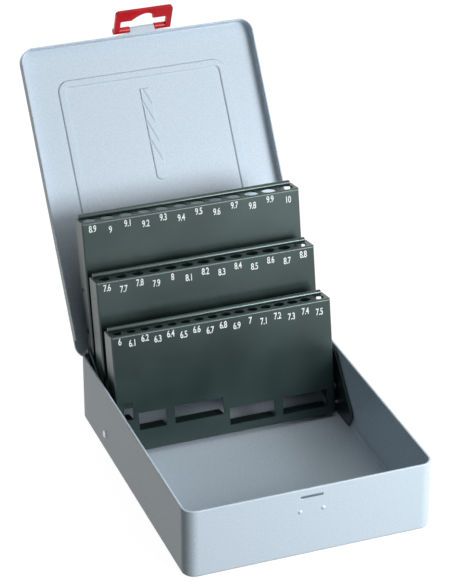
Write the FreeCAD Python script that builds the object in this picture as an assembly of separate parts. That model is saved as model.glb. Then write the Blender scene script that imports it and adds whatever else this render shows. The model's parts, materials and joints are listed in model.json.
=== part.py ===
import FreeCAD, Part
import math
import os

# Steel drill case, shown open: a tray with a hinged lid, a plastic latch on the
# lid, and three sheet-steel tiers that hold 41 twist drills from 6 to 10 mm.
# Origin: centre of the tray's underside.  +X is the right-hand side, +Y the
# hinge side, +Z up.  The tiers and the lid lie flat when the case is closed.

# ---- tray ----
TRAY_WIDTH = 170.0
TRAY_DEPTH = 217.0
TRAY_HEIGHT = 49.5
SHEET = 0.8                      # steel of the tray, the lid and the tiers
TRAY_CORNER_RADIUS = 8.5
TRAY_BASE_RADIUS = 2.0
HEM_HEIGHT = 4.0                 # rim folded inwards onto the wall
HEM_EDGE = 0.35                  # bevel along the folded rim
CATCH_SLOT_LENGTH = 15.4
CATCH_SLOT_HEIGHT = 2.0
CATCH_SLOT_BELOW_RIM = 5.9
DIMPLE_SPACING = 15.9
DIMPLE_BELOW_RIM = 16.4
DIMPLE_RADIUS = 1.4
DIMPLE_HEIGHT = 0.7

# ---- lid and its hinge ----
LID_FLANGE_HEIGHT = 8.5
LID_HEIGHT_OVER_RIM = 4.8        # closed lid, from the rim to its top
LID_EDGE_RADIUS = 1.4
LID_OPEN_ANGLE = 123.6           # from closed to fully open
KNUCKLE_RADIUS = 2.2
HINGE_INSET = 0.2                # knuckles, inside the lid's outer face
HINGE_DROP = 0.5                 # knuckles, below the tray's rim
HINGE_PIN_RADIUS = 1.1
HINGE_HALF_WIDTH = 65.0
KNUCKLE_COUNT = 5
KNUCKLE_GAP = 0.4
NOTCH_CLEARANCE = 1.9            # round the lid's knuckles, in the rear wall
REAR_FLANGE_LIFT = 1.35          # rear flange's edge above the knuckles
SIDE_FLANGE_STOP = 12.0          # full-height side flange ends before the rear wall
RUNNING_GAP = 0.3                # between pieces that move past each other
BORE_CLEARANCE = 0.08            # on the radius of a pivot

# ---- rib and drill figure pressed into the lid ----
RIB_WIDTH = 5.3
RIB_HEIGHT = 0.9
RIB_SIDE_INSET = 23.6
RIB_END_INSET = 24.9
RIB_CORNER_RADIUS = 8.5
FIGURE_LENGTH = 66.0
FIGURE_WIDTH = 7.2
FIGURE_HEIGHT = 0.7
FIGURE_FROM_RIB = 8.2
FLUTE_ANGLE = 21.0               # from the drill's length
FLUTE_WIDTH = 2.6
FLUTE_DEPTH = 0.55
FLUTE_STEP = 13.5
FLUTE_COUNT = 4

# ---- latch ----
LATCH_OFFSET = 4.5               # its middle, to the right of the lid's
LATCH_WIDTH = 42.0
LATCH_LENGTH = 19.2              # pivot to tip
LATCH_THICKNESS = 2.2
LATCH_LEG_WIDTH = 4.0
LATCH_SLOT_START = 2.6           # hanging hole, from the pivot
LATCH_SLOT_END = 10.2
LATCH_HUMP_END = 15.6
LATCH_HUMP_WIDTH = 13.4
LATCH_TIP_RADIUS = 2.5
BARREL_RADIUS = 2.3
BARREL_LENGTH = 11.7
LATCH_PIN_RADIUS = 0.9
LATCH_PIN_OUT = 3.6              # pivot in front of the lid's flange
LATCH_OPEN_ANGLE = 35.1          # from closed to the position shown
TONGUE_BASE_WIDTH = 38.0
TONGUE_CURL_RADIUS = 1.8

# ---- tiers ----
TIER_NAMES = ("front", "middle", "rear")
TIER_WIDTH = 158.0
TIER_THICKNESS = 15.2
TIER_BEND_RADIUS = 1.2
TIER_LEAN = 10.0                 # backwards, from upright
TIER_SWING = 100.0               # from the position shown to lying flat
TIER_ABOVE_PIVOT = (78.75, 88.2, 105.4)
TIER_BELOW_PIVOT = 5.3
PIVOT_BEHIND_FACE = (5.5, 6.5, 5.0)
PIVOT_FROM_BACK = (63.0, 33.2, 8.7)      # pivot to the outside of the rear wall
FIRST_PIVOT_HEIGHT = 9.0
STACK_GAP = 0.4                  # between tiers that lie on each other
REAR_BEAD_RADIUS = 1.3
REAR_BEAD_SHORTER = 2.0
STRIP_FROM_BEAD = 0.2             # rear edge of the perforated strip, in front of the bead
FIRST_DRILL = (6.0, 7.6, 8.9)
DRILL_COUNT = (16, 13, 12)
DRILL_STEP = 0.1
HOLE_OVERSIZE = 0.3
HOLE_SPAN = (145.0, 142.0, 143.6)
HOLE_BEHIND_FACE = 6.4
WINDOW_HEIGHT = 12.4             # the cut-out is bent inwards as the drills' seat
SEAT_DEPTH = 10.8
WINDOWS = (
    ((-74.0, -67.6, 60.5), (-64.0, -44.5, 69.2), (-38.4, -3.2, 69.2),
     (0.9, 34.0, 78.2), (39.9, 73.0, 78.2)),
    ((-73.5, -43.0, 84.5), (-38.0, -3.0, 84.5), (2.0, 37.0, 84.5),
     (42.5, 73.5, 86.5)),
    ((-74.0, -33.0, 92.5), (-27.5, 9.5, 92.5), (14.5, 40.0, 100.5),
     (44.5, 74.0, 100.5)),
)
GUIDE_DROP = (37.0, 43.0, 50.0)  # second row of holes, below the tier's top
GUIDE_DEPTH = 12.8
GUIDE_TAB = 7.0
REAR_NOTCH_START = 59.4          # the rear tier's flanges narrow below this drop
REAR_NOTCH_END = 67.3
REAR_NARROW_DEPTH = 9.0
FLANGE_HOLES = ((50.0, 10.9, 1.5), (79.0, 6.7, 1.8))   # drop, behind the face, radius

# ---- side plates, pivots and tie bars ----
PLATE_THICKNESS = 1.0
PLATE_FRONT = 24.0               # front of its foot, from the tray's middle
PLATE_TOE_HEIGHT = 11.0
PLATE_TOE_FRONT = 19.0
PLATE_SLOPE_TOP = 51.0
PLATE_REAR_GAP = 5.0             # from the outside of the rear wall
PLATE_FOOT_GAP = 0.2
PLATE_CORNER_RADIUS = 3.0
PIVOT_RADIUS = 2.0
PIVOT_HEAD_RADIUS = 3.3
HEAD_THICKNESS = 0.9
TIE_OFFSET = 12.0                # tie pin from its tier's pivot
TIE_OFFSET_ANGLE = 78.0          # above the horizontal, towards the rear
TIE_BAR_WIDTH = 6.2
TIE_BAR_THICKNESS = 1.2
TIE_PIN_RADIUS = 1.4
TIE_HEAD_RADIUS = 2.3
TIE_HEAD_THICKNESS = 0.6
WALL_RIVET_FROM_BACK = 54.1
WALL_RIVET_HEIGHT = 13.7
WALL_RIVET_RADIUS = 1.6
WALL_RIVET_HEAD_RADIUS = 2.6

# ---- worked out from the above ----
HALF_WIDTH = TRAY_WIDTH / 2
HALF_DEPTH = TRAY_DEPTH / 2
HALF_TIER = TIER_WIDTH / 2
LID_GROW = SHEET + RUNNING_GAP               # lid's outside, beyond the tray's
HINGE_Y = HALF_DEPTH + LID_GROW - KNUCKLE_RADIUS - HINGE_INSET
HINGE_Z = TRAY_HEIGHT - KNUCKLE_RADIUS - HINGE_DROP
LID_TOP = TRAY_HEIGHT + LID_HEIGHT_OVER_RIM
LID_BOTTOM = LID_TOP - LID_FLANGE_HEIGHT
LATCH_Y = -(HALF_DEPTH + LID_GROW + LATCH_PIN_OUT)
LATCH_Z = LID_BOTTOM - SHEET + TONGUE_CURL_RADIUS
PLATE_OUTER = HALF_WIDTH - 2 * SHEET - RUNNING_GAP
PLATE_INNER = PLATE_OUTER - PLATE_THICKNESS
TIE_INNER = (HALF_TIER + PLATE_INNER - TIE_BAR_THICKNESS) / 2 - RUNNING_GAP
TIE_OUTER = TIE_INNER + TIE_BAR_THICKNESS
PART_DIR = "parts"


def box(x0, x1, y0, y1, z0, z1):
    return Part.makeBox(x1 - x0, y1 - y0, z1 - z0, FreeCAD.Vector(x0, y0, z0))


def rod(radius, x0, x1, y, z):
    """Cylinder along X."""
    return Part.makeCylinder(radius, x1 - x0, FreeCAD.Vector(x0, y, z), FreeCAD.Vector(1, 0, 0))


def fuse(shapes):
    return shapes[0].multiFuse(shapes[1:]).removeSplitter()


def cut(shape, tools):
    return shape.cut(Part.makeCompound(tools))


def fillet(shape, radius, wanted):
    """Fillet the edges for which wanted(edge) is true."""
    return shape.makeFillet(radius, [e for e in shape.Edges if wanted(e)])


def bevel(shape, width, wanted):
    """Chamfer the edges for which wanted(edge) is true."""
    return shape.makeChamfer(width, [e for e in shape.Edges if wanted(e)])


def is_parallel(edge, direction):
    if not isinstance(edge.Curve, Part.Line):
        return False
    return edge.Curve.Direction.cross(direction).Length < 1e-6


def at_height(edge, z):
    return edge.BoundBox.ZLength < 1e-6 and abs(edge.BoundBox.ZMin - z) < 1e-6


def rounded_block(half_x, half_y, z0, z1, radius):
    """Upright block with four rounded corners, centred on the origin."""
    block = box(-half_x, half_x, -half_y, half_y, z0, z1)
    return fillet(block, radius, lambda e: is_parallel(e, FreeCAD.Vector(0, 0, 1)))


def mirrored(shape):
    """The same shape on the other side of the case."""
    return shape.mirror(FreeCAD.Vector(0, 0, 0), FreeCAD.Vector(1, 0, 0))


def turned(shape, angle, y, z):
    """Turn about an axis along X through (y, z); positive tips the top forwards."""
    copy = shape.copy()
    copy.rotate(FreeCAD.Vector(0, y, z), FreeCAD.Vector(1, 0, 0), angle)
    return copy


# ---------------------------------------------------------------- tray

def knuckle_spans(first):
    """Widths along X of every other hinge knuckle, from knuckle number first."""
    pitch = 2 * HINGE_HALF_WIDTH / KNUCKLE_COUNT
    spans = []
    for index in range(first, KNUCKLE_COUNT, 2):
        x0 = -HINGE_HALF_WIDTH + index * pitch
        spans.append((x0 + KNUCKLE_GAP / 2, x0 + pitch - KNUCKLE_GAP / 2))
    return spans


def hinge_bore():
    reach = HINGE_HALF_WIDTH + KNUCKLE_GAP
    return rod(HINGE_PIN_RADIUS + BORE_CLEARANCE, -reach, reach, HINGE_Y, HINGE_Z)


def wall_rivet_hole(side):
    y = HALF_DEPTH - WALL_RIVET_FROM_BACK
    x0 = PLATE_INNER - 1.0
    hole = rod(WALL_RIVET_RADIUS, x0, HALF_WIDTH + 1.0, y, WALL_RIVET_HEIGHT)
    return hole if side > 0 else mirrored(hole)


def dimple(x):
    """Small bump pressed outwards from the front wall, and its hollow."""
    ball = (DIMPLE_RADIUS ** 2 + DIMPLE_HEIGHT ** 2) / (2 * DIMPLE_HEIGHT)
    y = -HALF_DEPTH + ball - DIMPLE_HEIGHT
    z = TRAY_HEIGHT - DIMPLE_BELOW_RIM
    bump = Part.makeSphere(ball, FreeCAD.Vector(x, y, z))
    bump = bump.common(box(x - 3, x + 3, y - 2 * ball, -HALF_DEPTH + SHEET / 2, z - 3, z + 3))
    hollow = Part.makeSphere(ball, FreeCAD.Vector(x, y + SHEET, z))
    reach = box(x - 3, x + 3, y - 2 * ball, -HALF_DEPTH + 2 * SHEET, z - 3, z + 3)
    return bump, hollow.common(reach)


def tray():
    up = FreeCAD.Vector(0, 0, 1)
    shell = rounded_block(HALF_WIDTH, HALF_DEPTH, 0, TRAY_HEIGHT, TRAY_CORNER_RADIUS)
    shell = fillet(shell, TRAY_BASE_RADIUS, lambda e: at_height(e, 0))
    room = rounded_block(HALF_WIDTH - SHEET, HALF_DEPTH - SHEET, SHEET, TRAY_HEIGHT + 5,
                         TRAY_CORNER_RADIUS - SHEET)
    room = bevel(room, TRAY_BASE_RADIUS - SHEET, lambda e: at_height(e, SHEET))
    hem = rounded_block(HALF_WIDTH - SHEET / 2, HALF_DEPTH - SHEET / 2,
                        TRAY_HEIGHT - HEM_HEIGHT, TRAY_HEIGHT, TRAY_CORNER_RADIUS - SHEET / 2)
    hem_room = rounded_block(HALF_WIDTH - 2 * SHEET, HALF_DEPTH - 2 * SHEET,
                             TRAY_HEIGHT - HEM_HEIGHT - 1, TRAY_HEIGHT + 1,
                             TRAY_CORNER_RADIUS - 2 * SHEET)
    body = fuse([shell.cut(room), hem.cut(hem_room)])
    body = bevel(body, HEM_EDGE, lambda e: at_height(e, TRAY_HEIGHT))

    # The rear wall's top is cut away where the lid's knuckles turn, and rolled
    # round the pin between them.
    clear = KNUCKLE_RADIUS + NOTCH_CLEARANCE
    edge = HINGE_HALF_WIDTH + KNUCKLE_GAP
    body = body.cut(box(-edge, edge, HINGE_Y - clear, HALF_DEPTH + 1,
                        HINGE_Z - clear, TRAY_HEIGHT + 1))
    hem_gap = box(-edge, edge, HALF_DEPTH - 2 * SHEET - 1, HALF_DEPTH - SHEET,
                  TRAY_HEIGHT - HEM_HEIGHT - 1, TRAY_HEIGHT + 1)
    body = body.cut(hem_gap)
    pieces = [body]
    for x0, x1 in knuckle_spans(0):
        pieces.append(rod(KNUCKLE_RADIUS, x0, x1, HINGE_Y, HINGE_Z))
        pieces.append(box(x0, x1, HALF_DEPTH - SHEET, HALF_DEPTH, HINGE_Z - clear - 1, HINGE_Z))
    bumps = [dimple(side * DIMPLE_SPACING / 2) for side in (-1, 1)]
    pieces += [bump for bump, hollow in bumps]
    body = fuse(pieces)

    slot_z = TRAY_HEIGHT - CATCH_SLOT_BELOW_RIM
    slot = box(-CATCH_SLOT_LENGTH / 2, CATCH_SLOT_LENGTH / 2, -HALF_DEPTH - 1,
               -HALF_DEPTH + 3 * SHEET, slot_z - CATCH_SLOT_HEIGHT / 2,
               slot_z + CATCH_SLOT_HEIGHT / 2)
    slot = fillet(slot, CATCH_SLOT_HEIGHT * 0.4,
                  lambda e: is_parallel(e, FreeCAD.Vector(0, 1, 0)))
    tools = [slot, hinge_bore(), wall_rivet_hole(1), wall_rivet_hole(-1)]
    tools += [hollow for bump, hollow in bumps]
    return cut(body, tools)


# ---------------------------------------------------------------- lid

def pressed_ring(inset, width, z0, z1):
    """Rounded-rectangle band that follows the rib pressed into the lid."""
    half_x = HALF_WIDTH + LID_GROW - RIB_SIDE_INSET - inset
    half_y = HALF_DEPTH + LID_GROW - RIB_END_INSET - inset
    outer = rounded_block(half_x, half_y, z0, z1, RIB_CORNER_RADIUS - inset)
    inner = rounded_block(half_x - width, half_y - width, z0 - 1, z1 + 1,
                          RIB_CORNER_RADIUS - inset - width)
    return outer.cut(inner)


def drill_figure():
    """Twist drill pressed into the lid: a raised bar with slanting flutes and a round end."""
    half = FIGURE_WIDTH / 2
    y_tip = -(HALF_DEPTH + LID_GROW - RIB_END_INSET - RIB_WIDTH - FIGURE_FROM_RIB)
    y_end = y_tip + FIGURE_LENGTH
    under = LID_TOP - SHEET
    face = under - FIGURE_HEIGHT
    bar = box(-half, half, y_tip, y_end, face, under + SHEET / 2)
    bar = fillet(bar, half * 0.95, lambda e: is_parallel(e, FreeCAD.Vector(0, 0, 1))
                 and e.BoundBox.YMin > y_end - 0.1)
    bar = bevel(bar, FIGURE_HEIGHT * 0.7, lambda e: at_height(e, face))
    slant = math.radians(FLUTE_ANGLE)
    reach = FIGURE_WIDTH / math.sin(slant)
    run = FreeCAD.Vector(reach * math.sin(slant), reach * math.cos(slant), 0)
    flutes = []
    for index in range(FLUTE_COUNT):
        y = y_tip - FLUTE_STEP / 3 + index * FLUTE_STEP
        corners = [FreeCAD.Vector(-half - FLUTE_WIDTH / 2, y, face - 0.1),
                   FreeCAD.Vector(-half + FLUTE_WIDTH / 2, y, face - 0.1),
                   FreeCAD.Vector(-half, y, face + FLUTE_DEPTH)]
        flutes.append(Part.Face(Part.makePolygon(corners + corners[:1])).extrude(run))
    return cut(bar, flutes)


def at_latch(shape):
    """Move a shape drawn on the case's middle to the latch's middle."""
    return shape.translated(FreeCAD.Vector(LATCH_OFFSET, 0, 0))


def latch_tongue():
    """Tab on the lid's front flange, rolled round the latch's pin."""
    flange_y = -(HALF_DEPTH + LID_GROW)
    half_curl = LATCH_WIDTH / 2 - BARREL_LENGTH - RUNNING_GAP
    half_base = TONGUE_BASE_WIDTH / 2
    corners = [(-half_base, flange_y + SHEET), (-half_base, flange_y),
               (-half_curl, LATCH_Y + BARREL_RADIUS + 0.2), (-half_curl, LATCH_Y),
               (half_curl, LATCH_Y), (half_curl, LATCH_Y + BARREL_RADIUS + 0.2),
               (half_base, flange_y), (half_base, flange_y + SHEET)]
    points = [FreeCAD.Vector(x, y, LID_BOTTOM - SHEET) for x, y in corners]
    tab = Part.Face(Part.makePolygon(points + points[:1]))
    tab = tab.extrude(FreeCAD.Vector(0, 0, SHEET))
    curl = rod(TONGUE_CURL_RADIUS, -half_curl, half_curl, LATCH_Y, LATCH_Z)
    return [at_latch(tab), at_latch(curl)]


def lid_closed():
    half_x = HALF_WIDTH + LID_GROW
    half_y = HALF_DEPTH + LID_GROW
    radius = TRAY_CORNER_RADIUS + LID_GROW
    outer = rounded_block(half_x, half_y, LID_BOTTOM, LID_TOP, radius)
    outer = fillet(outer, LID_EDGE_RADIUS, lambda e: at_height(e, LID_TOP))
    room = rounded_block(half_x - SHEET, half_y - SHEET, LID_BOTTOM - 1, LID_TOP - SHEET,
                         radius - SHEET)
    room = bevel(room, LID_EDGE_RADIUS - SHEET, lambda e: at_height(e, LID_TOP - SHEET))
    body = outer.cut(room)

    # Round the rear corners and along the hinge the flange stops above the rim,
    # so that it clears the tray's wall when the lid stands open.
    rear_edge = HINGE_Z + KNUCKLE_RADIUS + REAR_FLANGE_LIFT
    body = body.cut(box(-half_x - 1, half_x + 1, HALF_DEPTH - SIDE_FLANGE_STOP, half_y + 1,
                        LID_BOTTOM - 1, rear_edge))
    pieces = [body]
    for x0, x1 in knuckle_spans(1):
        pieces.append(rod(KNUCKLE_RADIUS, x0, x1, HINGE_Y, HINGE_Z))
        pieces.append(box(x0, x1, half_y - SHEET, half_y, HINGE_Z, rear_edge + 1))
    under = LID_TOP - SHEET
    rib = pressed_ring(0, RIB_WIDTH, under - RIB_HEIGHT, under + SHEET / 2)
    pieces.append(bevel(rib, RIB_HEIGHT * 0.8, lambda e: at_height(e, under - RIB_HEIGHT)))
    pieces += latch_tongue()
    pieces.append(drill_figure())
    body = fuse(pieces)
    groove = pressed_ring(SHEET, RIB_WIDTH - 2 * SHEET, LID_TOP - RIB_HEIGHT, LID_TOP + 1)
    pin_bore = LATCH_PIN_RADIUS + BORE_CLEARANCE
    return cut(body, [groove, hinge_bore(),
                      rod(pin_bore, -LATCH_WIDTH, LATCH_WIDTH, LATCH_Y, LATCH_Z)])


def open_with_lid(shape):
    return turned(shape, -LID_OPEN_ANGLE, HINGE_Y, HINGE_Z)


def hinge_pin():
    reach = HINGE_HALF_WIDTH - KNUCKLE_GAP
    return rod(HINGE_PIN_RADIUS, -reach, reach, HINGE_Y, HINGE_Z)


# ---------------------------------------------------------------- latch

def latch_closed():
    """Plastic latch hanging from its pin in front of the tray's wall."""
    half = LATCH_WIDTH / 2
    y1 = LATCH_Y + BARREL_RADIUS
    y0 = y1 - LATCH_THICKNESS
    tip = LATCH_Z - LATCH_LENGTH
    plate = box(-half, half, y0, y1, tip, LATCH_Z)
    plate = fillet(plate, LATCH_TIP_RADIUS,
                   lambda e: is_parallel(e, FreeCAD.Vector(0, 1, 0)) and e.BoundBox.ZMax < tip + 1)
    inner = half - LATCH_LEG_WIDTH
    slot = box(-inner, inner, y0 - 1, y1 + 1, LATCH_Z - LATCH_SLOT_END, LATCH_Z + 1)
    slot = fillet(slot, 0.8, lambda e: is_parallel(e, FreeCAD.Vector(0, 1, 0))
                  and e.BoundBox.ZMax < LATCH_Z)
    # The hanging notch has one upright side and one that runs out in a curve.
    hump_left = LATCH_HUMP_WIDTH / 2
    z_low = LATCH_Z - LATCH_SLOT_END + 0.01
    z_top = LATCH_Z - LATCH_HUMP_END
    start = FreeCAD.Vector(-hump_left - 2.4, y0 - 1, z_low)
    bend = FreeCAD.Vector(-hump_left * 0.45, y0 - 1, z_top + 1.2)
    crown = FreeCAD.Vector(hump_left * 0.35, y0 - 1, z_top)
    shoulder = FreeCAD.Vector(hump_left, y0 - 1, z_top + 2.6)
    foot = FreeCAD.Vector(hump_left, y0 - 1, z_low)
    curve = Part.BSplineCurve()
    curve.interpolate([start, bend, crown, shoulder])
    outline = Part.Wire([curve.toShape(), Part.makeLine(shoulder, foot),
                         Part.makeLine(foot, start)])
    hump = Part.Face(outline).extrude(FreeCAD.Vector(0, LATCH_THICKNESS + 2, 0))
    plate = cut(plate, [slot, hump])
    pieces = [plate]
    for side in (-1, 1):
        ends = sorted((side * half, side * (half - BARREL_LENGTH)))
        pieces.append(rod(BARREL_RADIUS, ends[0], ends[1], LATCH_Y, LATCH_Z))
    body = fuse(pieces)
    bore = rod(LATCH_PIN_RADIUS + BORE_CLEARANCE, -half - 1, half + 1, LATCH_Y, LATCH_Z)
    return at_latch(body.cut(bore))


def latch_pin():
    reach = LATCH_WIDTH / 2 - 0.6
    return at_latch(rod(LATCH_PIN_RADIUS, -reach, reach, LATCH_Y, LATCH_Z))


# ---------------------------------------------------------------- tiers
# A tier is drawn upright with its front face towards -Y, and its pivot at
# y = 0, z = 0.  stand_up() leans it back and puts it on its pivot.

def pivot_place(tier):
    """Where the tier's pivot is in the tray: y and z."""
    face = FIRST_PIVOT_HEIGHT - PIVOT_BEHIND_FACE[0]
    face += tier * (TIER_THICKNESS + STACK_GAP)
    return HALF_DEPTH - PIVOT_FROM_BACK[tier], face + PIVOT_BEHIND_FACE[tier]


def stand_up(shape, tier):
    y, z = pivot_place(tier)
    placed = turned(shape, -TIER_LEAN, 0, 0)
    placed.translate(FreeCAD.Vector(0, y, z))
    return placed


def drill_holes(tier, z0, z1):
    """One cylinder for each drill, upright."""
    count = DRILL_COUNT[tier]
    pitch = HOLE_SPAN[tier] / (count - 1)
    y = HOLE_BEHIND_FACE - PIVOT_BEHIND_FACE[tier]
    holes = []
    for index in range(count):
        radius = (FIRST_DRILL[tier] + index * DRILL_STEP + HOLE_OVERSIZE) / 2
        x = -HOLE_SPAN[tier] / 2 + index * pitch
        holes.append(Part.makeCylinder(radius, z1 - z0, FreeCAD.Vector(x, y, z0)))
    return holes


def tie_pin_local():
    """The tie pin's place in an upright tier: y and z from the pivot."""
    angle = math.radians(TIE_OFFSET_ANGLE + TIER_LEAN)
    return TIE_OFFSET * math.cos(angle), TIE_OFFSET * math.sin(angle)


def rear_notch(face, top, back):
    """Cut that narrows the rear tier's flanges with a hollow curve."""
    start = top - REAR_NOTCH_START
    end = top - REAR_NOTCH_END
    narrow = face + REAR_NARROW_DEPTH
    bottom = -TIER_BELOW_PIVOT - 1
    middle = FreeCAD.Vector(0, narrow + (back - narrow) * 0.3, start - (start - end) * 0.3)
    points = [FreeCAD.Vector(0, back + 1, start), FreeCAD.Vector(0, narrow, end),
              FreeCAD.Vector(0, narrow, bottom), FreeCAD.Vector(0, back + 1, bottom)]
    edges = [Part.Arc(points[0], middle, points[1]).toShape(),
             Part.makeLine(points[1], points[2]), Part.makeLine(points[2], points[3]),
             Part.makeLine(points[3], points[0])]
    shape = Part.Face(Part.Wire(edges)).extrude(FreeCAD.Vector(TIER_WIDTH + 2, 0, 0))
    shape.translate(FreeCAD.Vector(-HALF_TIER - 1, 0, 0))
    return shape


def strip_room(tier):
    """The flat part of an upright tier's top, between its bends and its bead."""
    top = TIER_ABOVE_PIVOT[tier]
    face = -PIVOT_BEHIND_FACE[tier]
    reach = HALF_TIER - SHEET
    rear = face + TIER_THICKNESS - 2 * REAR_BEAD_RADIUS - STRIP_FROM_BEAD
    return box(-reach, reach, face + SHEET, rear, top - SHEET, top + SHEET)


def tier_body(tier):
    """A tier's folded sheet with its rolled rear edge, before any cut."""
    top = TIER_ABOVE_PIVOT[tier]
    face = -PIVOT_BEHIND_FACE[tier]
    back = face + TIER_THICKNESS
    bottom = -TIER_BELOW_PIVOT
    outer = box(-HALF_TIER, HALF_TIER, face, back, bottom, top)
    outer = fillet(outer, TIER_BEND_RADIUS,
                   lambda e: e.BoundBox.YMax < face + 0.1 and e.BoundBox.ZMax > bottom + 0.1)
    inner = HALF_TIER - SHEET
    room = box(-inner, inner, face + SHEET, back + 5, bottom - 5, top - SHEET)
    room = fillet(room, TIER_BEND_RADIUS - SHEET,
                  lambda e: e.BoundBox.YMax < face + SHEET + 0.1)
    pieces = [outer.cut(room)]
    bead_reach = HALF_TIER - REAR_BEAD_SHORTER
    pieces.append(rod(REAR_BEAD_RADIUS, -bead_reach, bead_reach, back - REAR_BEAD_RADIUS,
                      top + REAR_BEAD_RADIUS - SHEET / 2))
    return fuse(pieces)


def hole_strip(tier):
    """The perforated top, a piece of its own so that each hole stays open."""
    top = TIER_ABOVE_PIVOT[tier]
    strip = tier_body(tier).common(strip_room(tier))
    return cut(strip, drill_holes(tier, top - 3, top + 3))


def tier_shell(tier):
    top = TIER_ABOVE_PIVOT[tier]
    face = -PIVOT_BEHIND_FACE[tier]
    back = face + TIER_THICKNESS
    tools = [strip_room(tier)]
    for x0, x1, drop in WINDOWS[tier]:
        tools.append(box(x0, x1, face - 1, face + 2 * SHEET, top - drop,
                         top - drop + WINDOW_HEIGHT))
    tie_y, tie_z = tie_pin_local()
    tools.append(rod(PIVOT_RADIUS + BORE_CLEARANCE, -HALF_TIER - 1, HALF_TIER + 1, 0, 0))
    tools.append(rod(TIE_PIN_RADIUS, -HALF_TIER - 1, HALF_TIER + 1, tie_y, tie_z))
    if TIER_NAMES[tier] == "rear":
        tools.append(rear_notch(face, top, back))
        for drop, behind, radius in FLANGE_HOLES:
            tools.append(rod(radius, -HALF_TIER - 1, HALF_TIER + 1, face + behind, top - drop))
    body = cut(tier_body(tier), tools)
    seats = []
    for x0, x1, drop in WINDOWS[tier]:
        seats.append(box(x0, x1, face, face + SEAT_DEPTH, top - drop - SHEET, top - drop))
    return fuse([body] + seats)


def guide_plate(tier):
    """Second row of holes, on a plate held between the tier's flanges."""
    face = -PIVOT_BEHIND_FACE[tier]
    z1 = TIER_ABOVE_PIVOT[tier] - GUIDE_DROP[tier]
    z0 = z1 - SHEET
    reach = HALF_TIER - SHEET
    y0 = face + TIER_BEND_RADIUS
    pieces = [box(-reach, reach, y0, y0 + GUIDE_DEPTH, z0, z1)]
    for side in (-1, 1):
        ends = sorted((side * reach, side * (reach - SHEET)))
        pieces.append(box(ends[0], ends[1], y0 + SHEET, y0 + GUIDE_DEPTH, z0 - GUIDE_TAB, z1))
    return cut(fuse(pieces), drill_holes(tier, z0 - 1, z1 + 1))


def tie_pin(side):
    """Riveted pin from a tier's flange to the tie bar."""
    y, z = tie_pin_local()
    inside = HALF_TIER - SHEET
    head = TIE_OUTER + 0.1
    pin = fuse([rod(TIE_PIN_RADIUS, inside, head, y, z),
                rod(TIE_HEAD_RADIUS, head, head + TIE_HEAD_THICKNESS, y, z)])
    return pin if side > 0 else mirrored(pin)


# ---------------------------------------------------------------- side plates

def pivot_pin(tier, side):
    """Rivet in the side plate, on which a tier swings."""
    y, z = pivot_place(tier)
    inside = HALF_TIER - SHEET - 0.1
    pin = fuse([rod(PIVOT_HEAD_RADIUS, inside - HEAD_THICKNESS, inside, y, z),
                rod(PIVOT_RADIUS, inside, PLATE_OUTER + RUNNING_GAP, y, z)])
    return pin if side > 0 else mirrored(pin)


def side_plate(side):
    """Plate inside the tray's wall that carries the pivots of the three tiers."""
    top = TRAY_HEIGHT - HEM_HEIGHT - RUNNING_GAP
    rear = HALF_DEPTH - PLATE_REAR_GAP
    foot = SHEET + PLATE_FOOT_GAP
    outline = [(PLATE_FRONT, foot), (PLATE_TOE_FRONT, PLATE_TOE_HEIGHT),
               (PLATE_SLOPE_TOP, top), (rear, top), (rear, foot)]
    points = [FreeCAD.Vector(PLATE_INNER, y, z) for y, z in outline]
    plate = Part.Face(Part.makePolygon(points + points[:1]))
    plate = plate.extrude(FreeCAD.Vector(PLATE_THICKNESS, 0, 0))
    plate = fillet(plate, PLATE_CORNER_RADIUS, lambda e: is_parallel(e, FreeCAD.Vector(1, 0, 0)))
    tools = [wall_rivet_hole(1)]
    for tier in range(len(TIER_NAMES)):
        y, z = pivot_place(tier)
        tools.append(rod(PIVOT_RADIUS, PLATE_INNER - 1, PLATE_OUTER + 1, y, z))
    plate = cut(plate, tools)
    return plate if side > 0 else mirrored(plate)


def wall_rivet(side):
    """Rivet through the tray's wall and the side plate, with a spacer between."""
    y = HALF_DEPTH - WALL_RIVET_FROM_BACK
    z = WALL_RIVET_HEIGHT
    wall = HALF_WIDTH - SHEET
    head = rod(WALL_RIVET_HEAD_RADIUS, HALF_WIDTH, HALF_WIDTH + HEAD_THICKNESS, y, z)
    head = bevel(head, HEAD_THICKNESS * 0.6,
                 lambda e: e.BoundBox.XMin > HALF_WIDTH + HEAD_THICKNESS / 2)
    rivet = fuse([rod(WALL_RIVET_RADIUS, PLATE_INNER, HALF_WIDTH, y, z), head,
                  rod(WALL_RIVET_HEAD_RADIUS, PLATE_OUTER, wall, y, z)])
    return rivet if side > 0 else mirrored(rivet)


def tie_bar(side):
    """Flat bar that joins the three tiers, so that they swing together."""
    angle = math.radians(TIE_OFFSET_ANGLE)
    centres = []
    for tier in range(len(TIER_NAMES)):
        y, z = pivot_place(tier)
        centres.append((y + TIE_OFFSET * math.cos(angle), z + TIE_OFFSET * math.sin(angle)))
    half = TIE_BAR_WIDTH / 2
    pieces = [rod(half, TIE_INNER, TIE_OUTER, y, z) for y, z in centres]
    for (y0, z0), (y1, z1) in zip(centres, centres[1:]):
        length = math.hypot(y1 - y0, z1 - z0)
        link = box(TIE_INNER, TIE_OUTER, y0, y0 + length, z0 - half, z0 + half)
        pieces.append(turned(link, math.degrees(math.atan2(z1 - z0, y1 - y0)), y0, z0))
    bar = cut(fuse(pieces), [rod(TIE_PIN_RADIUS + BORE_CLEARANCE, TIE_INNER - 1, TIE_OUTER + 1,
                                 y, z) for y, z in centres])
    return bar if side > 0 else mirrored(bar)


# ---------------------------------------------------------------- assembly

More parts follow.
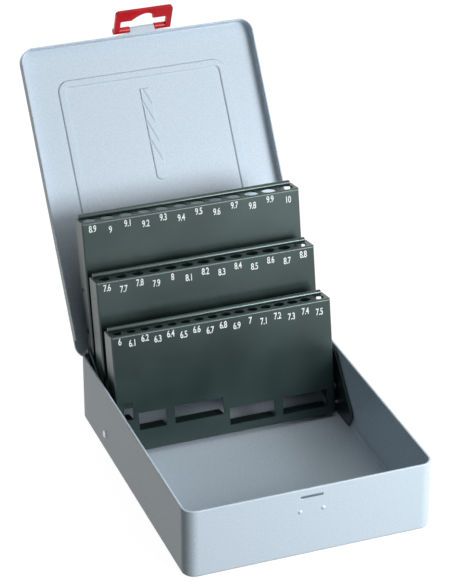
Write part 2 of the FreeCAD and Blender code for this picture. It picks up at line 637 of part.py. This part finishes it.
def build():
    latch = turned(latch_closed(), -LATCH_OPEN_ANGLE, LATCH_Y, LATCH_Z)
    nodes = {
        "tray": tray(),
        "lid": open_with_lid(lid_closed()),
        "hinge_pin": hinge_pin(),
        "latch": open_with_lid(latch),
        "latch_pin": open_with_lid(latch_pin()),
    }
    for side, hand in ((-1, "left"), (1, "right")):
        nodes[hand + "_side_plate"] = side_plate(side)
        nodes[hand + "_wall_rivet"] = wall_rivet(side)
        nodes[hand + "_tie_bar"] = tie_bar(side)
    for tier, name in enumerate(TIER_NAMES):
        nodes[name + "_tier_shell"] = stand_up(tier_shell(tier), tier)
        nodes[name + "_hole_strip"] = stand_up(hole_strip(tier), tier)
        nodes[name + "_guide_plate"] = stand_up(guide_plate(tier), tier)
        for side, hand in ((-1, "left"), (1, "right")):
            nodes[name + "_pivot_pin_" + hand] = pivot_pin(tier, side)
            nodes[name + "_tie_pin_" + hand] = stand_up(tie_pin(side), tier)
    return nodes


os.makedirs(PART_DIR, exist_ok=True)
for node, solid in build().items():
    if not solid.isValid():
        raise ValueError(node + " is not a valid solid")
    print(node, len(solid.Solids), round(solid.Volume, 1))
    solid.exportStep(os.path.join(PART_DIR, node + ".step"))
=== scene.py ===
import bmesh
import bpy
import json
import math
from mathutils import Matrix, Vector


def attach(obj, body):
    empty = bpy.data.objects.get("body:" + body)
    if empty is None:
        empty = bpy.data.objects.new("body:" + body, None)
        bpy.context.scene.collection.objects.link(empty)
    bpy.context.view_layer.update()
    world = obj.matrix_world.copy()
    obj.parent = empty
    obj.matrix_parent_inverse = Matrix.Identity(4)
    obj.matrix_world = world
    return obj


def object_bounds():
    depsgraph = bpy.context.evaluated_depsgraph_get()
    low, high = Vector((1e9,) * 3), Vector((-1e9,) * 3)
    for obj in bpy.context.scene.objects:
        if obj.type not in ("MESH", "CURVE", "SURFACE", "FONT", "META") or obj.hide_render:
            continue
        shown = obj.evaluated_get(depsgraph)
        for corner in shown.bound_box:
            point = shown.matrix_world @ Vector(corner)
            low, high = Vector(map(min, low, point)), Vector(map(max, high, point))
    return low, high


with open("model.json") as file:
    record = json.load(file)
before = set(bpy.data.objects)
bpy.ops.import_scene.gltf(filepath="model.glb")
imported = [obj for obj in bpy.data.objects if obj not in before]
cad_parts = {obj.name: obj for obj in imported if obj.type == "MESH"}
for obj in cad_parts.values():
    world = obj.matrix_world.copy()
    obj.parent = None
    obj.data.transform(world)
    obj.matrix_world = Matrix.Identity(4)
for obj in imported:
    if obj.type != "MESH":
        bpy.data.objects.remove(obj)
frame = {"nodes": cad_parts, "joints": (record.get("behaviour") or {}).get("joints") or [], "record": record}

cad_low, cad_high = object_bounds()
MM = 0.001

# ---- camera ----
CAMERA_PLACE = Vector((-508.0, -1319.5, 900.9)) * MM
CAMERA_TARGET = Vector((32.14, 132.82, 61.33)) * MM
CAMERA_ROLL = math.radians(-0.12)
FOCAL_LENGTH = 197.4
SENSOR_WIDTH = 36.0
NEAREST_SEEN = 50.0 * MM

# ---- tiers, each as it stands upright, in mm ----
# first_size, holes, hole_span: the smallest drill, how many holes, and the first hole to the last
# top, face: the top above the pivot, and the front face ahead of it
# high_row, low_row: the two rows of printed sizes, below the top
# shift, shift_at: the sizes' sideways shift, and the place in the row where it is greatest
# tilt: how far the rows fall to the right, for each mm along them
TIERS = {
    "front": {"first_size": 6.0, "holes": 16, "hole_span": 145.0, "top": 78.75, "face": 5.5,
              "high_row": 5.1, "low_row": 7.2, "shift": -4.4, "shift_at": 8.3, "tilt": 0.016},
    "middle": {"first_size": 7.6, "holes": 13, "hole_span": 142.0, "top": 88.2, "face": 6.5,
               "high_row": 5.0, "low_row": 7.5, "shift": -1.2, "shift_at": 5.5, "tilt": 0.004},
    "rear": {"first_size": 8.9, "holes": 12, "hole_span": 143.6, "top": 105.4, "face": 5.0,
             "high_row": 4.7, "low_row": 7.1, "shift": -1.8, "shift_at": 7.3, "tilt": 0.0},
}
SIZE_STEP = 0.1                     # from one drill to the next
TIER_THICKNESS = 15.2
TIER_HALF_WIDTH = 79.0
LEAN = math.radians(10.0)           # how far the tiers lean back

# ---- printed sizes, in mm ----
DIGIT_HEIGHT = 4.9
DIGIT_BOLDNESS = 0.10
DIGIT_NARROWING = 0.70              # of the font's own width
DIGIT_SPACING = 0.95                # of the font's own spacing
FONT_DIGIT_HEIGHT = 0.73            # of a digit in Blender's own font at size 1
PRINT_HALF_THICKNESS = 0.03

# ---- rivet heads on the left flanges, in mm ----
FLANGE_HEADS = {"front": (10.2, 12.8), "middle": (6.9, 12.5)}      # behind the face, below the top
HEAD_RADIUS = 0.9
HEAD_HEIGHT = 0.12
HEAD_SEGMENTS = 24
RIM_TOLERANCE = 0.01                # on a ball of radius 1

# ---- rolled edge along the back of each tier's top, in mm ----
BEAD_RADIUS = 1.8
BEAD_HALF_LENGTH = 77.1
BEAD_BEHIND_FACE = TIER_THICKNESS - 1.75
BEAD_ABOVE_TOP = 1.0
BEAD_SEGMENTS = 40
BEAD_END_RADIUS = 0.5
BEAD_END_SEGMENTS = 3
FULL_ROUND = 0.5                    # the bevel's profile for an arc
SAME_PLACE = 1e-4

# ---- lamps, in metres and watts ----
WHITE = (1.0, 1.0, 1.0)
COOL_WHITE = (0.96, 0.985, 1.0)
LAMP_TARGET = Vector((0.0, 0.05, 0.08))
LAMPS = {                           # place, width, power, colour
    "key": ((0.60, -1.20, 0.60), 0.6, 15.4, COOL_WHITE),
    "side": ((0.48, -0.48, 0.30), 0.3, 3.4, COOL_WHITE),
    "top": ((0.2, -0.40, 1.5), 0.9, 4.4, WHITE),
    "back": ((0.0, 1.60, 0.85), 0.9, 14.0, COOL_WHITE),
}

# ---- floor and surroundings, in metres ----
WORLD_FILL = (0.046, 0.058, 0.052)  # light on the object from all around
FLOOR_BOUNCE = (0.080, 0.105, 0.092)        # the floor's colour as it lights the object
FLOOR_SEEN = (0.12, 0.12, 0.12)     # the floor's colour as it is seen, which takes the shadow
FLOOR_GLOW = 0.96                   # added to the floor where it is seen, so that it shows as white
FLOOR_HALF_WIDTH = 4.0
FLOOR_GAP = 0.0002                  # under the object, so that the two don't flicker


# ---------------------------------------------------------------- materials

class Surface:
    """A material with the Principled shader, and what varies over it."""

    def __init__(self, name):
        self.material = bpy.data.materials.new(name)
        self.material.use_nodes = True
        self.nodes = self.material.node_tree.nodes
        self.links = self.material.node_tree.links
        self.inputs = self.nodes["Principled BSDF"].inputs

    def noise(self, scale, detail=3.0):
        """Noise on the object's own coordinates, in metres."""
        place = self.nodes.new("ShaderNodeTexCoord")
        texture = self.nodes.new("ShaderNodeTexNoise")
        texture.inputs["Scale"].default_value = scale
        texture.inputs["Detail"].default_value = detail
        self.links.new(place.outputs["Object"], texture.inputs["Vector"])
        return texture.outputs["Fac"]

    def colour(self, source, low, high, start=0.3, end=0.7):
        """The colour goes from low to high as the source goes from start to end."""
        blend = self.nodes.new("ShaderNodeValToRGB")
        blend.color_ramp.interpolation = "EASE"
        for element, position, shade in zip(blend.color_ramp.elements, (start, end), (low, high)):
            element.position = position
            element.color = (*shade, 1.0)
        self.links.new(source, blend.inputs["Fac"])
        self.links.new(blend.outputs["Color"], self.inputs["Base Color"])

    def roughness(self, source, low, high, start=0.15, end=0.85):
        """The roughness goes from low to high as the source goes from start to end."""
        scale = self.nodes.new("ShaderNodeMapRange")
        scale.interpolation_type = "SMOOTHSTEP"
        scale.inputs["From Min"].default_value = start
        scale.inputs["From Max"].default_value = end
        scale.inputs["To Min"].default_value = low
        scale.inputs["To Max"].default_value = high
        self.links.new(source, scale.inputs["Value"])
        self.links.new(scale.outputs["Result"], self.inputs["Roughness"])

    def constants(self, values):
        """Numbers and colours that are the same all over."""
        for socket, value in values.items():
            self.inputs[socket].default_value = value

    def grain(self, scale, strength, height, edge_round=None):
        """A fine grain, with the shading rounded over sharp edges where edge_round is given."""
        node = self.nodes.new("ShaderNodeBump")
        node.inputs["Strength"].default_value = strength
        node.inputs["Distance"].default_value = height
        self.links.new(self.noise(scale, detail=2.0), node.inputs["Height"])
        self.links.new(node.outputs["Normal"], self.inputs["Normal"])
        if edge_round:
            rounded = self.nodes.new("ShaderNodeBevel")
            rounded.samples = 4
            rounded.inputs["Radius"].default_value = edge_round
            self.links.new(rounded.outputs["Normal"], node.inputs["Normal"])


def case_paint():
    """Silver-grey metallic paint on sheet steel: glossy, with a fine grain."""
    paint = Surface("case_paint")
    flakes = paint.noise(scale=1400.0, detail=0.0)
    paint.colour(flakes, (0.527, 0.602, 0.680), (0.541, 0.616, 0.694), start=0.1, end=0.9)
    paint.roughness(flakes, 0.26, 0.29)
    paint.constants({"Metallic": 0.08, "Specular IOR Level": 0.14,
                     "Coat Weight": 0.05, "Coat Roughness": 0.08})
    paint.grain(scale=2200.0, strength=0.10, height=0.06 * MM, edge_round=0.6 * MM)
    return paint.material


def tier_black():
    """Dark green-grey enamel with faint smears."""
    enamel = Surface("tier_black")
    smears = enamel.noise(scale=22.0, detail=5.0)
    enamel.colour(smears, (0.004, 0.009, 0.008), (0.009, 0.017, 0.015))
    enamel.roughness(smears, 0.26, 0.35)
    enamel.constants({"Specular IOR Level": 0.78, "Specular Tint": (0.78, 1.0, 0.97, 1.0)})
    enamel.grain(scale=1800.0, strength=0.10, height=0.06 * MM)
    return enamel.material


def latch_red():
    """Moulded red plastic."""
    plastic = Surface("latch_red")
    cloud = plastic.noise(scale=60.0)
    plastic.colour(cloud, (0.50, 0.003, 0.009), (0.58, 0.005, 0.013))
    plastic.roughness(cloud, 0.22, 0.30)
    plastic.constants({"Specular IOR Level": 0.3, "Coat Weight": 0.1})
    plastic.grain(scale=900.0, strength=0.06, height=0.05 * MM)
    return plastic.material


def steel(name, low, high):
    """Turned or drawn steel."""
    metal = Surface(name)
    cloud = metal.noise(scale=300.0)
    metal.colour(cloud, low, high)
    metal.roughness(cloud, 0.22, 0.36)
    metal.constants({"Metallic": 1.0})
    return metal.material


def print_white():
    """Screen-printed figures, slightly worn."""
    ink = Surface("print_white")
    wear = ink.noise(scale=2500.0, detail=4.0)
    ink.colour(wear, (0.55, 0.58, 0.58), (0.86, 0.87, 0.86))
    ink.constants({"Roughness": 0.5})
    return ink.material


MATERIALS = {
    "case_paint": case_paint(),
    "tier_black": tier_black(),
    "latch_red": latch_red(),
    "steel": steel("steel", (0.42, 0.42, 0.43), (0.60, 0.60, 0.60)),
    "steel_dark": steel("steel_dark", (0.07, 0.07, 0.07), (0.14, 0.14, 0.14)),
    "print_white": print_white(),
}


def paint_cad_nodes():
    """Each CAD node in the material that its record names."""
    for part in frame["record"]["subparts"]:
        node = frame["nodes"][part["node"]]
        for slot in node.material_slots:
            slot.material = MATERIALS[part["material_slot"]]


# ---------------------------------------------------------------- pieces on the tiers

PIVOTS = {joint["name"]: joint["pos_m"] for joint in frame["joints"]}


def on_tier(tier, x, behind_face, below_top):
    """The matrix that takes a small piece to its place, given in mm on the upright tier."""
    t = TIERS[tier]
    pivot = Matrix.Translation(PIVOTS[tier + "_tier_swing"])
    lean_back = Matrix.Rotation(-LEAN, 4, "X")
    from_pivot = (x * MM, (behind_face - t["face"]) * MM, (t["top"] - below_top) * MM)
    return pivot @ lean_back @ Matrix.Translation(from_pivot)


def new_piece(name, mesh, material):
    """An object of one mesh and one material."""
    mesh.materials.append(material)
    piece = bpy.data.objects.new(name, mesh)
    bpy.context.scene.collection.objects.link(piece)
    return piece


def smooth_mesh(name, body, place):
    """A mesh of what bmesh made, shaded smooth and moved to its place."""
    for face in body.faces:
        face.smooth = True
    mesh = bpy.data.meshes.new(name)
    body.to_mesh(mesh)
    body.free()
    mesh.transform(place)
    return mesh


def figures(name, words, place):
    """Flat figures that face the front, centred on their place."""
    curve = bpy.data.curves.new(name, "FONT")
    curve.body = words
    curve.align_x = "CENTER"
    curve.align_y = "CENTER"
    curve.size = DIGIT_HEIGHT * MM / FONT_DIGIT_HEIGHT
    curve.extrude = PRINT_HALF_THICKNESS * MM
    curve.space_character = DIGIT_SPACING
    curve.offset = DIGIT_BOLDNESS * MM
    text = bpy.data.objects.new(name, curve)
    bpy.context.scene.collection.objects.link(text)
    bpy.context.view_layer.update()
    mesh = bpy.data.meshes.new_from_object(text)
    bpy.data.objects.remove(text)
    upright = Matrix.Rotation(math.radians(90), 4, "X")
    narrow = Matrix.Diagonal((DIGIT_NARROWING, 1.0, 1.0, 1.0))
    mesh.transform(place @ upright @ narrow)
    return new_piece(name, mesh, MATERIALS["print_white"])


def dome(name, place):
    """A shallow round head on a left flange, pointing outwards."""
    body = bmesh.new()
    bmesh.ops.create_uvsphere(body, u_segments=HEAD_SEGMENTS, v_segments=HEAD_SEGMENTS // 2, radius=1.0)
    lower_half = [v for v in body.verts if v.co.z < -RIM_TOLERANCE]
    bmesh.ops.delete(body, geom=lower_half, context="VERTS")
    bmesh.ops.edgeloop_fill(body, edges=[e for e in body.edges if e.is_boundary])
    outwards = Matrix.Rotation(math.radians(-90), 4, "Y")
    shallow = Matrix.Diagonal((HEAD_RADIUS * MM, HEAD_RADIUS * MM, HEAD_HEIGHT * MM, 1.0))
    mesh = smooth_mesh(name, body, place @ outwards @ shallow)
    return new_piece(name, mesh, MATERIALS["steel_dark"])


def bead(name, place):
    """A rolled edge along X, with its two ends rounded over."""
    body = bmesh.new()
    along = Matrix.Rotation(math.radians(90), 4, "Y")
    bmesh.ops.create_cone(body, cap_ends=True, segments=BEAD_SEGMENTS, radius1=BEAD_RADIUS * MM,
                          radius2=BEAD_RADIUS * MM, depth=2 * BEAD_HALF_LENGTH * MM, matrix=along)
    ends = [e for e in body.edges if abs(e.verts[0].co.x - e.verts[1].co.x) < SAME_PLACE * MM]
    bmesh.ops.bevel(body, geom=ends, offset=BEAD_END_RADIUS * MM, segments=BEAD_END_SEGMENTS,
                    profile=FULL_ROUND, affect="EDGES")
    mesh = smooth_mesh(name, body, place)
    return new_piece(name, mesh, MATERIALS["tier_black"])


def sideways(t, index):
    """How far a printed size stands to the right of its hole, in mm."""
    from_greatest = (index - t["shift_at"]) / (t["holes"] / 2 + 1)
    return t["shift"] * (1 - from_greatest ** 2)


def print_sizes():
    """Each hole's drill size on the front of its tier, high and low by turns."""
    for tier, t in TIERS.items():
        for index in range(t["holes"]):
            words = ("%.1f" % (t["first_size"] + SIZE_STEP * index)).removesuffix(".0")
            hole_x = -t["hole_span"] / 2 + index * t["hole_span"] / (t["holes"] - 1)
            row = t["high_row"] if index % 2 == 0 else t["low_row"]
            place = on_tier(tier, hole_x + sideways(t, index), -PRINT_HALF_THICKNESS,
                            row + t["tilt"] * hole_x)
            piece = figures("size_" + words.replace(".", "_"), words, place)
            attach(piece, tier + "_tier")


def flange_heads():
    """Small rivet heads near the top of two left flanges."""
    for tier, (behind_face, below_top) in FLANGE_HEADS.items():
        place = on_tier(tier, -TIER_HALF_WIDTH, behind_face, below_top)
        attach(dome(tier + "_flange_head", place), tier + "_tier")


def rolled_edges():
    """The full rolled edge over the slimmer one of each tier's shell."""
    for tier in TIERS:
        place = on_tier(tier, 0.0, BEAD_BEHIND_FACE, -BEAD_ABOVE_TOP)
        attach(bead(tier + "_rolled_edge", place), tier + "_tier")


# ---------------------------------------------------------------- studio

def sees_white(nodes, links):
    """1 for camera, mirror and glass rays, which see the background as white."""
    path = nodes.new("ShaderNodeLightPath")
    total = path.outputs["Is Camera Ray"]
    for kind in ("Is Glossy Ray", "Is Transmission Ray"):
        either = nodes.new("ShaderNodeMath")
        either.operation = "MAXIMUM"
        links.new(total, either.inputs[0])
        links.new(path.outputs[kind], either.inputs[1])
        total = either.outputs[0]
    return total


def either_colour(nodes, links, chooser, unseen, seen):
    """The colour seen where the chooser is 1, and otherwise the unseen one."""
    mix = nodes.new("ShaderNodeMix")
    mix.data_type = "RGBA"
    mix.inputs["A"].default_value = (*unseen, 1.0)
    mix.inputs["B"].default_value = (*seen, 1.0)
    links.new(chooser, mix.inputs["Factor"])
    return mix.outputs["Result"]


def floor_white():
    """Pale floor that shows as white and keeps the object's shadow."""
    material = bpy.data.materials.new("floor")
    material.use_nodes = True
    nodes = material.node_tree.nodes
    links = material.node_tree.links
    nodes.clear()
    white = sees_white(nodes, links)
    diffuse = nodes.new("ShaderNodeBsdfDiffuse")
    links.new(either_colour(nodes, links, white, FLOOR_BOUNCE, FLOOR_SEEN), diffuse.inputs["Color"])
    level = nodes.new("ShaderNodeMath")
    level.operation = "MULTIPLY"
    level.inputs[1].default_value = FLOOR_GLOW
    links.new(white, level.inputs[0])
    glow = nodes.new("ShaderNodeEmission")
    links.new(level.outputs[0], glow.inputs["Strength"])
    both = nodes.new("ShaderNodeAddShader")
    links.new(diffuse.outputs[0], both.inputs[0])
    links.new(glow.outputs[0], both.inputs[1])
    out = nodes.new("ShaderNodeOutputMaterial")
    links.new(both.outputs[0], out.inputs["Surface"])
    return material


def stage_floor():
    """A wide floor just under the object."""
    half = FLOOR_HALF_WIDTH
    z = cad_low[2] - FLOOR_GAP
    corners = [(-half, -half, z), (half, -half, z), (half, half, z), (-half, half, z)]
    mesh = bpy.data.meshes.new("floor")
    mesh.from_pydata(corners, [], [(0, 1, 2, 3)])
    floor = new_piece("floor", mesh, floor_white())


def surroundings():
    """A world that shows as white and lights the object only a little."""
    world = bpy.data.worlds.new("studio")
    bpy.context.scene.world = world
    world.use_nodes = True
    nodes = world.node_tree.nodes
    links = world.node_tree.links
    colour = either_colour(nodes, links, sees_white(nodes, links), WORLD_FILL, WHITE)
    links.new(colour, nodes["Background"].inputs["Color"])


def turn_towards(target, place):
    """The turn of a lamp or camera that looks from a place to a target."""
    return (target - place).to_track_quat("-Z", "Y").to_matrix().to_4x4()


def lamps():
    """Square soft lamps, all turned to the case."""
    for name, (place, width, power, colour) in LAMPS.items():
        data = bpy.data.lights.new(name, "AREA")
        data.shape = "SQUARE"
        data.size = width
        data.energy = power
        data.color = colour
        lamp = bpy.data.objects.new(name, data)
        lamp.matrix_world = Matrix.Translation(place) @ turn_towards(LAMP_TARGET, Vector(place))
        bpy.context.scene.collection.objects.link(lamp)


def camera():
    """The photograph's viewing angle."""
    data = bpy.data.cameras.new("camera")
    data.sensor_fit = "HORIZONTAL"
    data.sensor_width = SENSOR_WIDTH
    data.lens = FOCAL_LENGTH
    data.clip_start = NEAREST_SEEN
    eye = bpy.data.objects.new("camera", data)
    turn = turn_towards(CAMERA_TARGET, CAMERA_PLACE) @ Matrix.Rotation(CAMERA_ROLL, 4, "Z")
    eye.matrix_world = Matrix.Translation(CAMERA_PLACE) @ turn
    bpy.context.scene.collection.objects.link(eye)
    bpy.context.scene.camera = eye


paint_cad_nodes()
print_sizes()
flange_heads()
rolled_edges()
stage_floor()
surroundings()
lamps()
camera()
bpy.context.scene.view_settings.view_transform = "Standard"
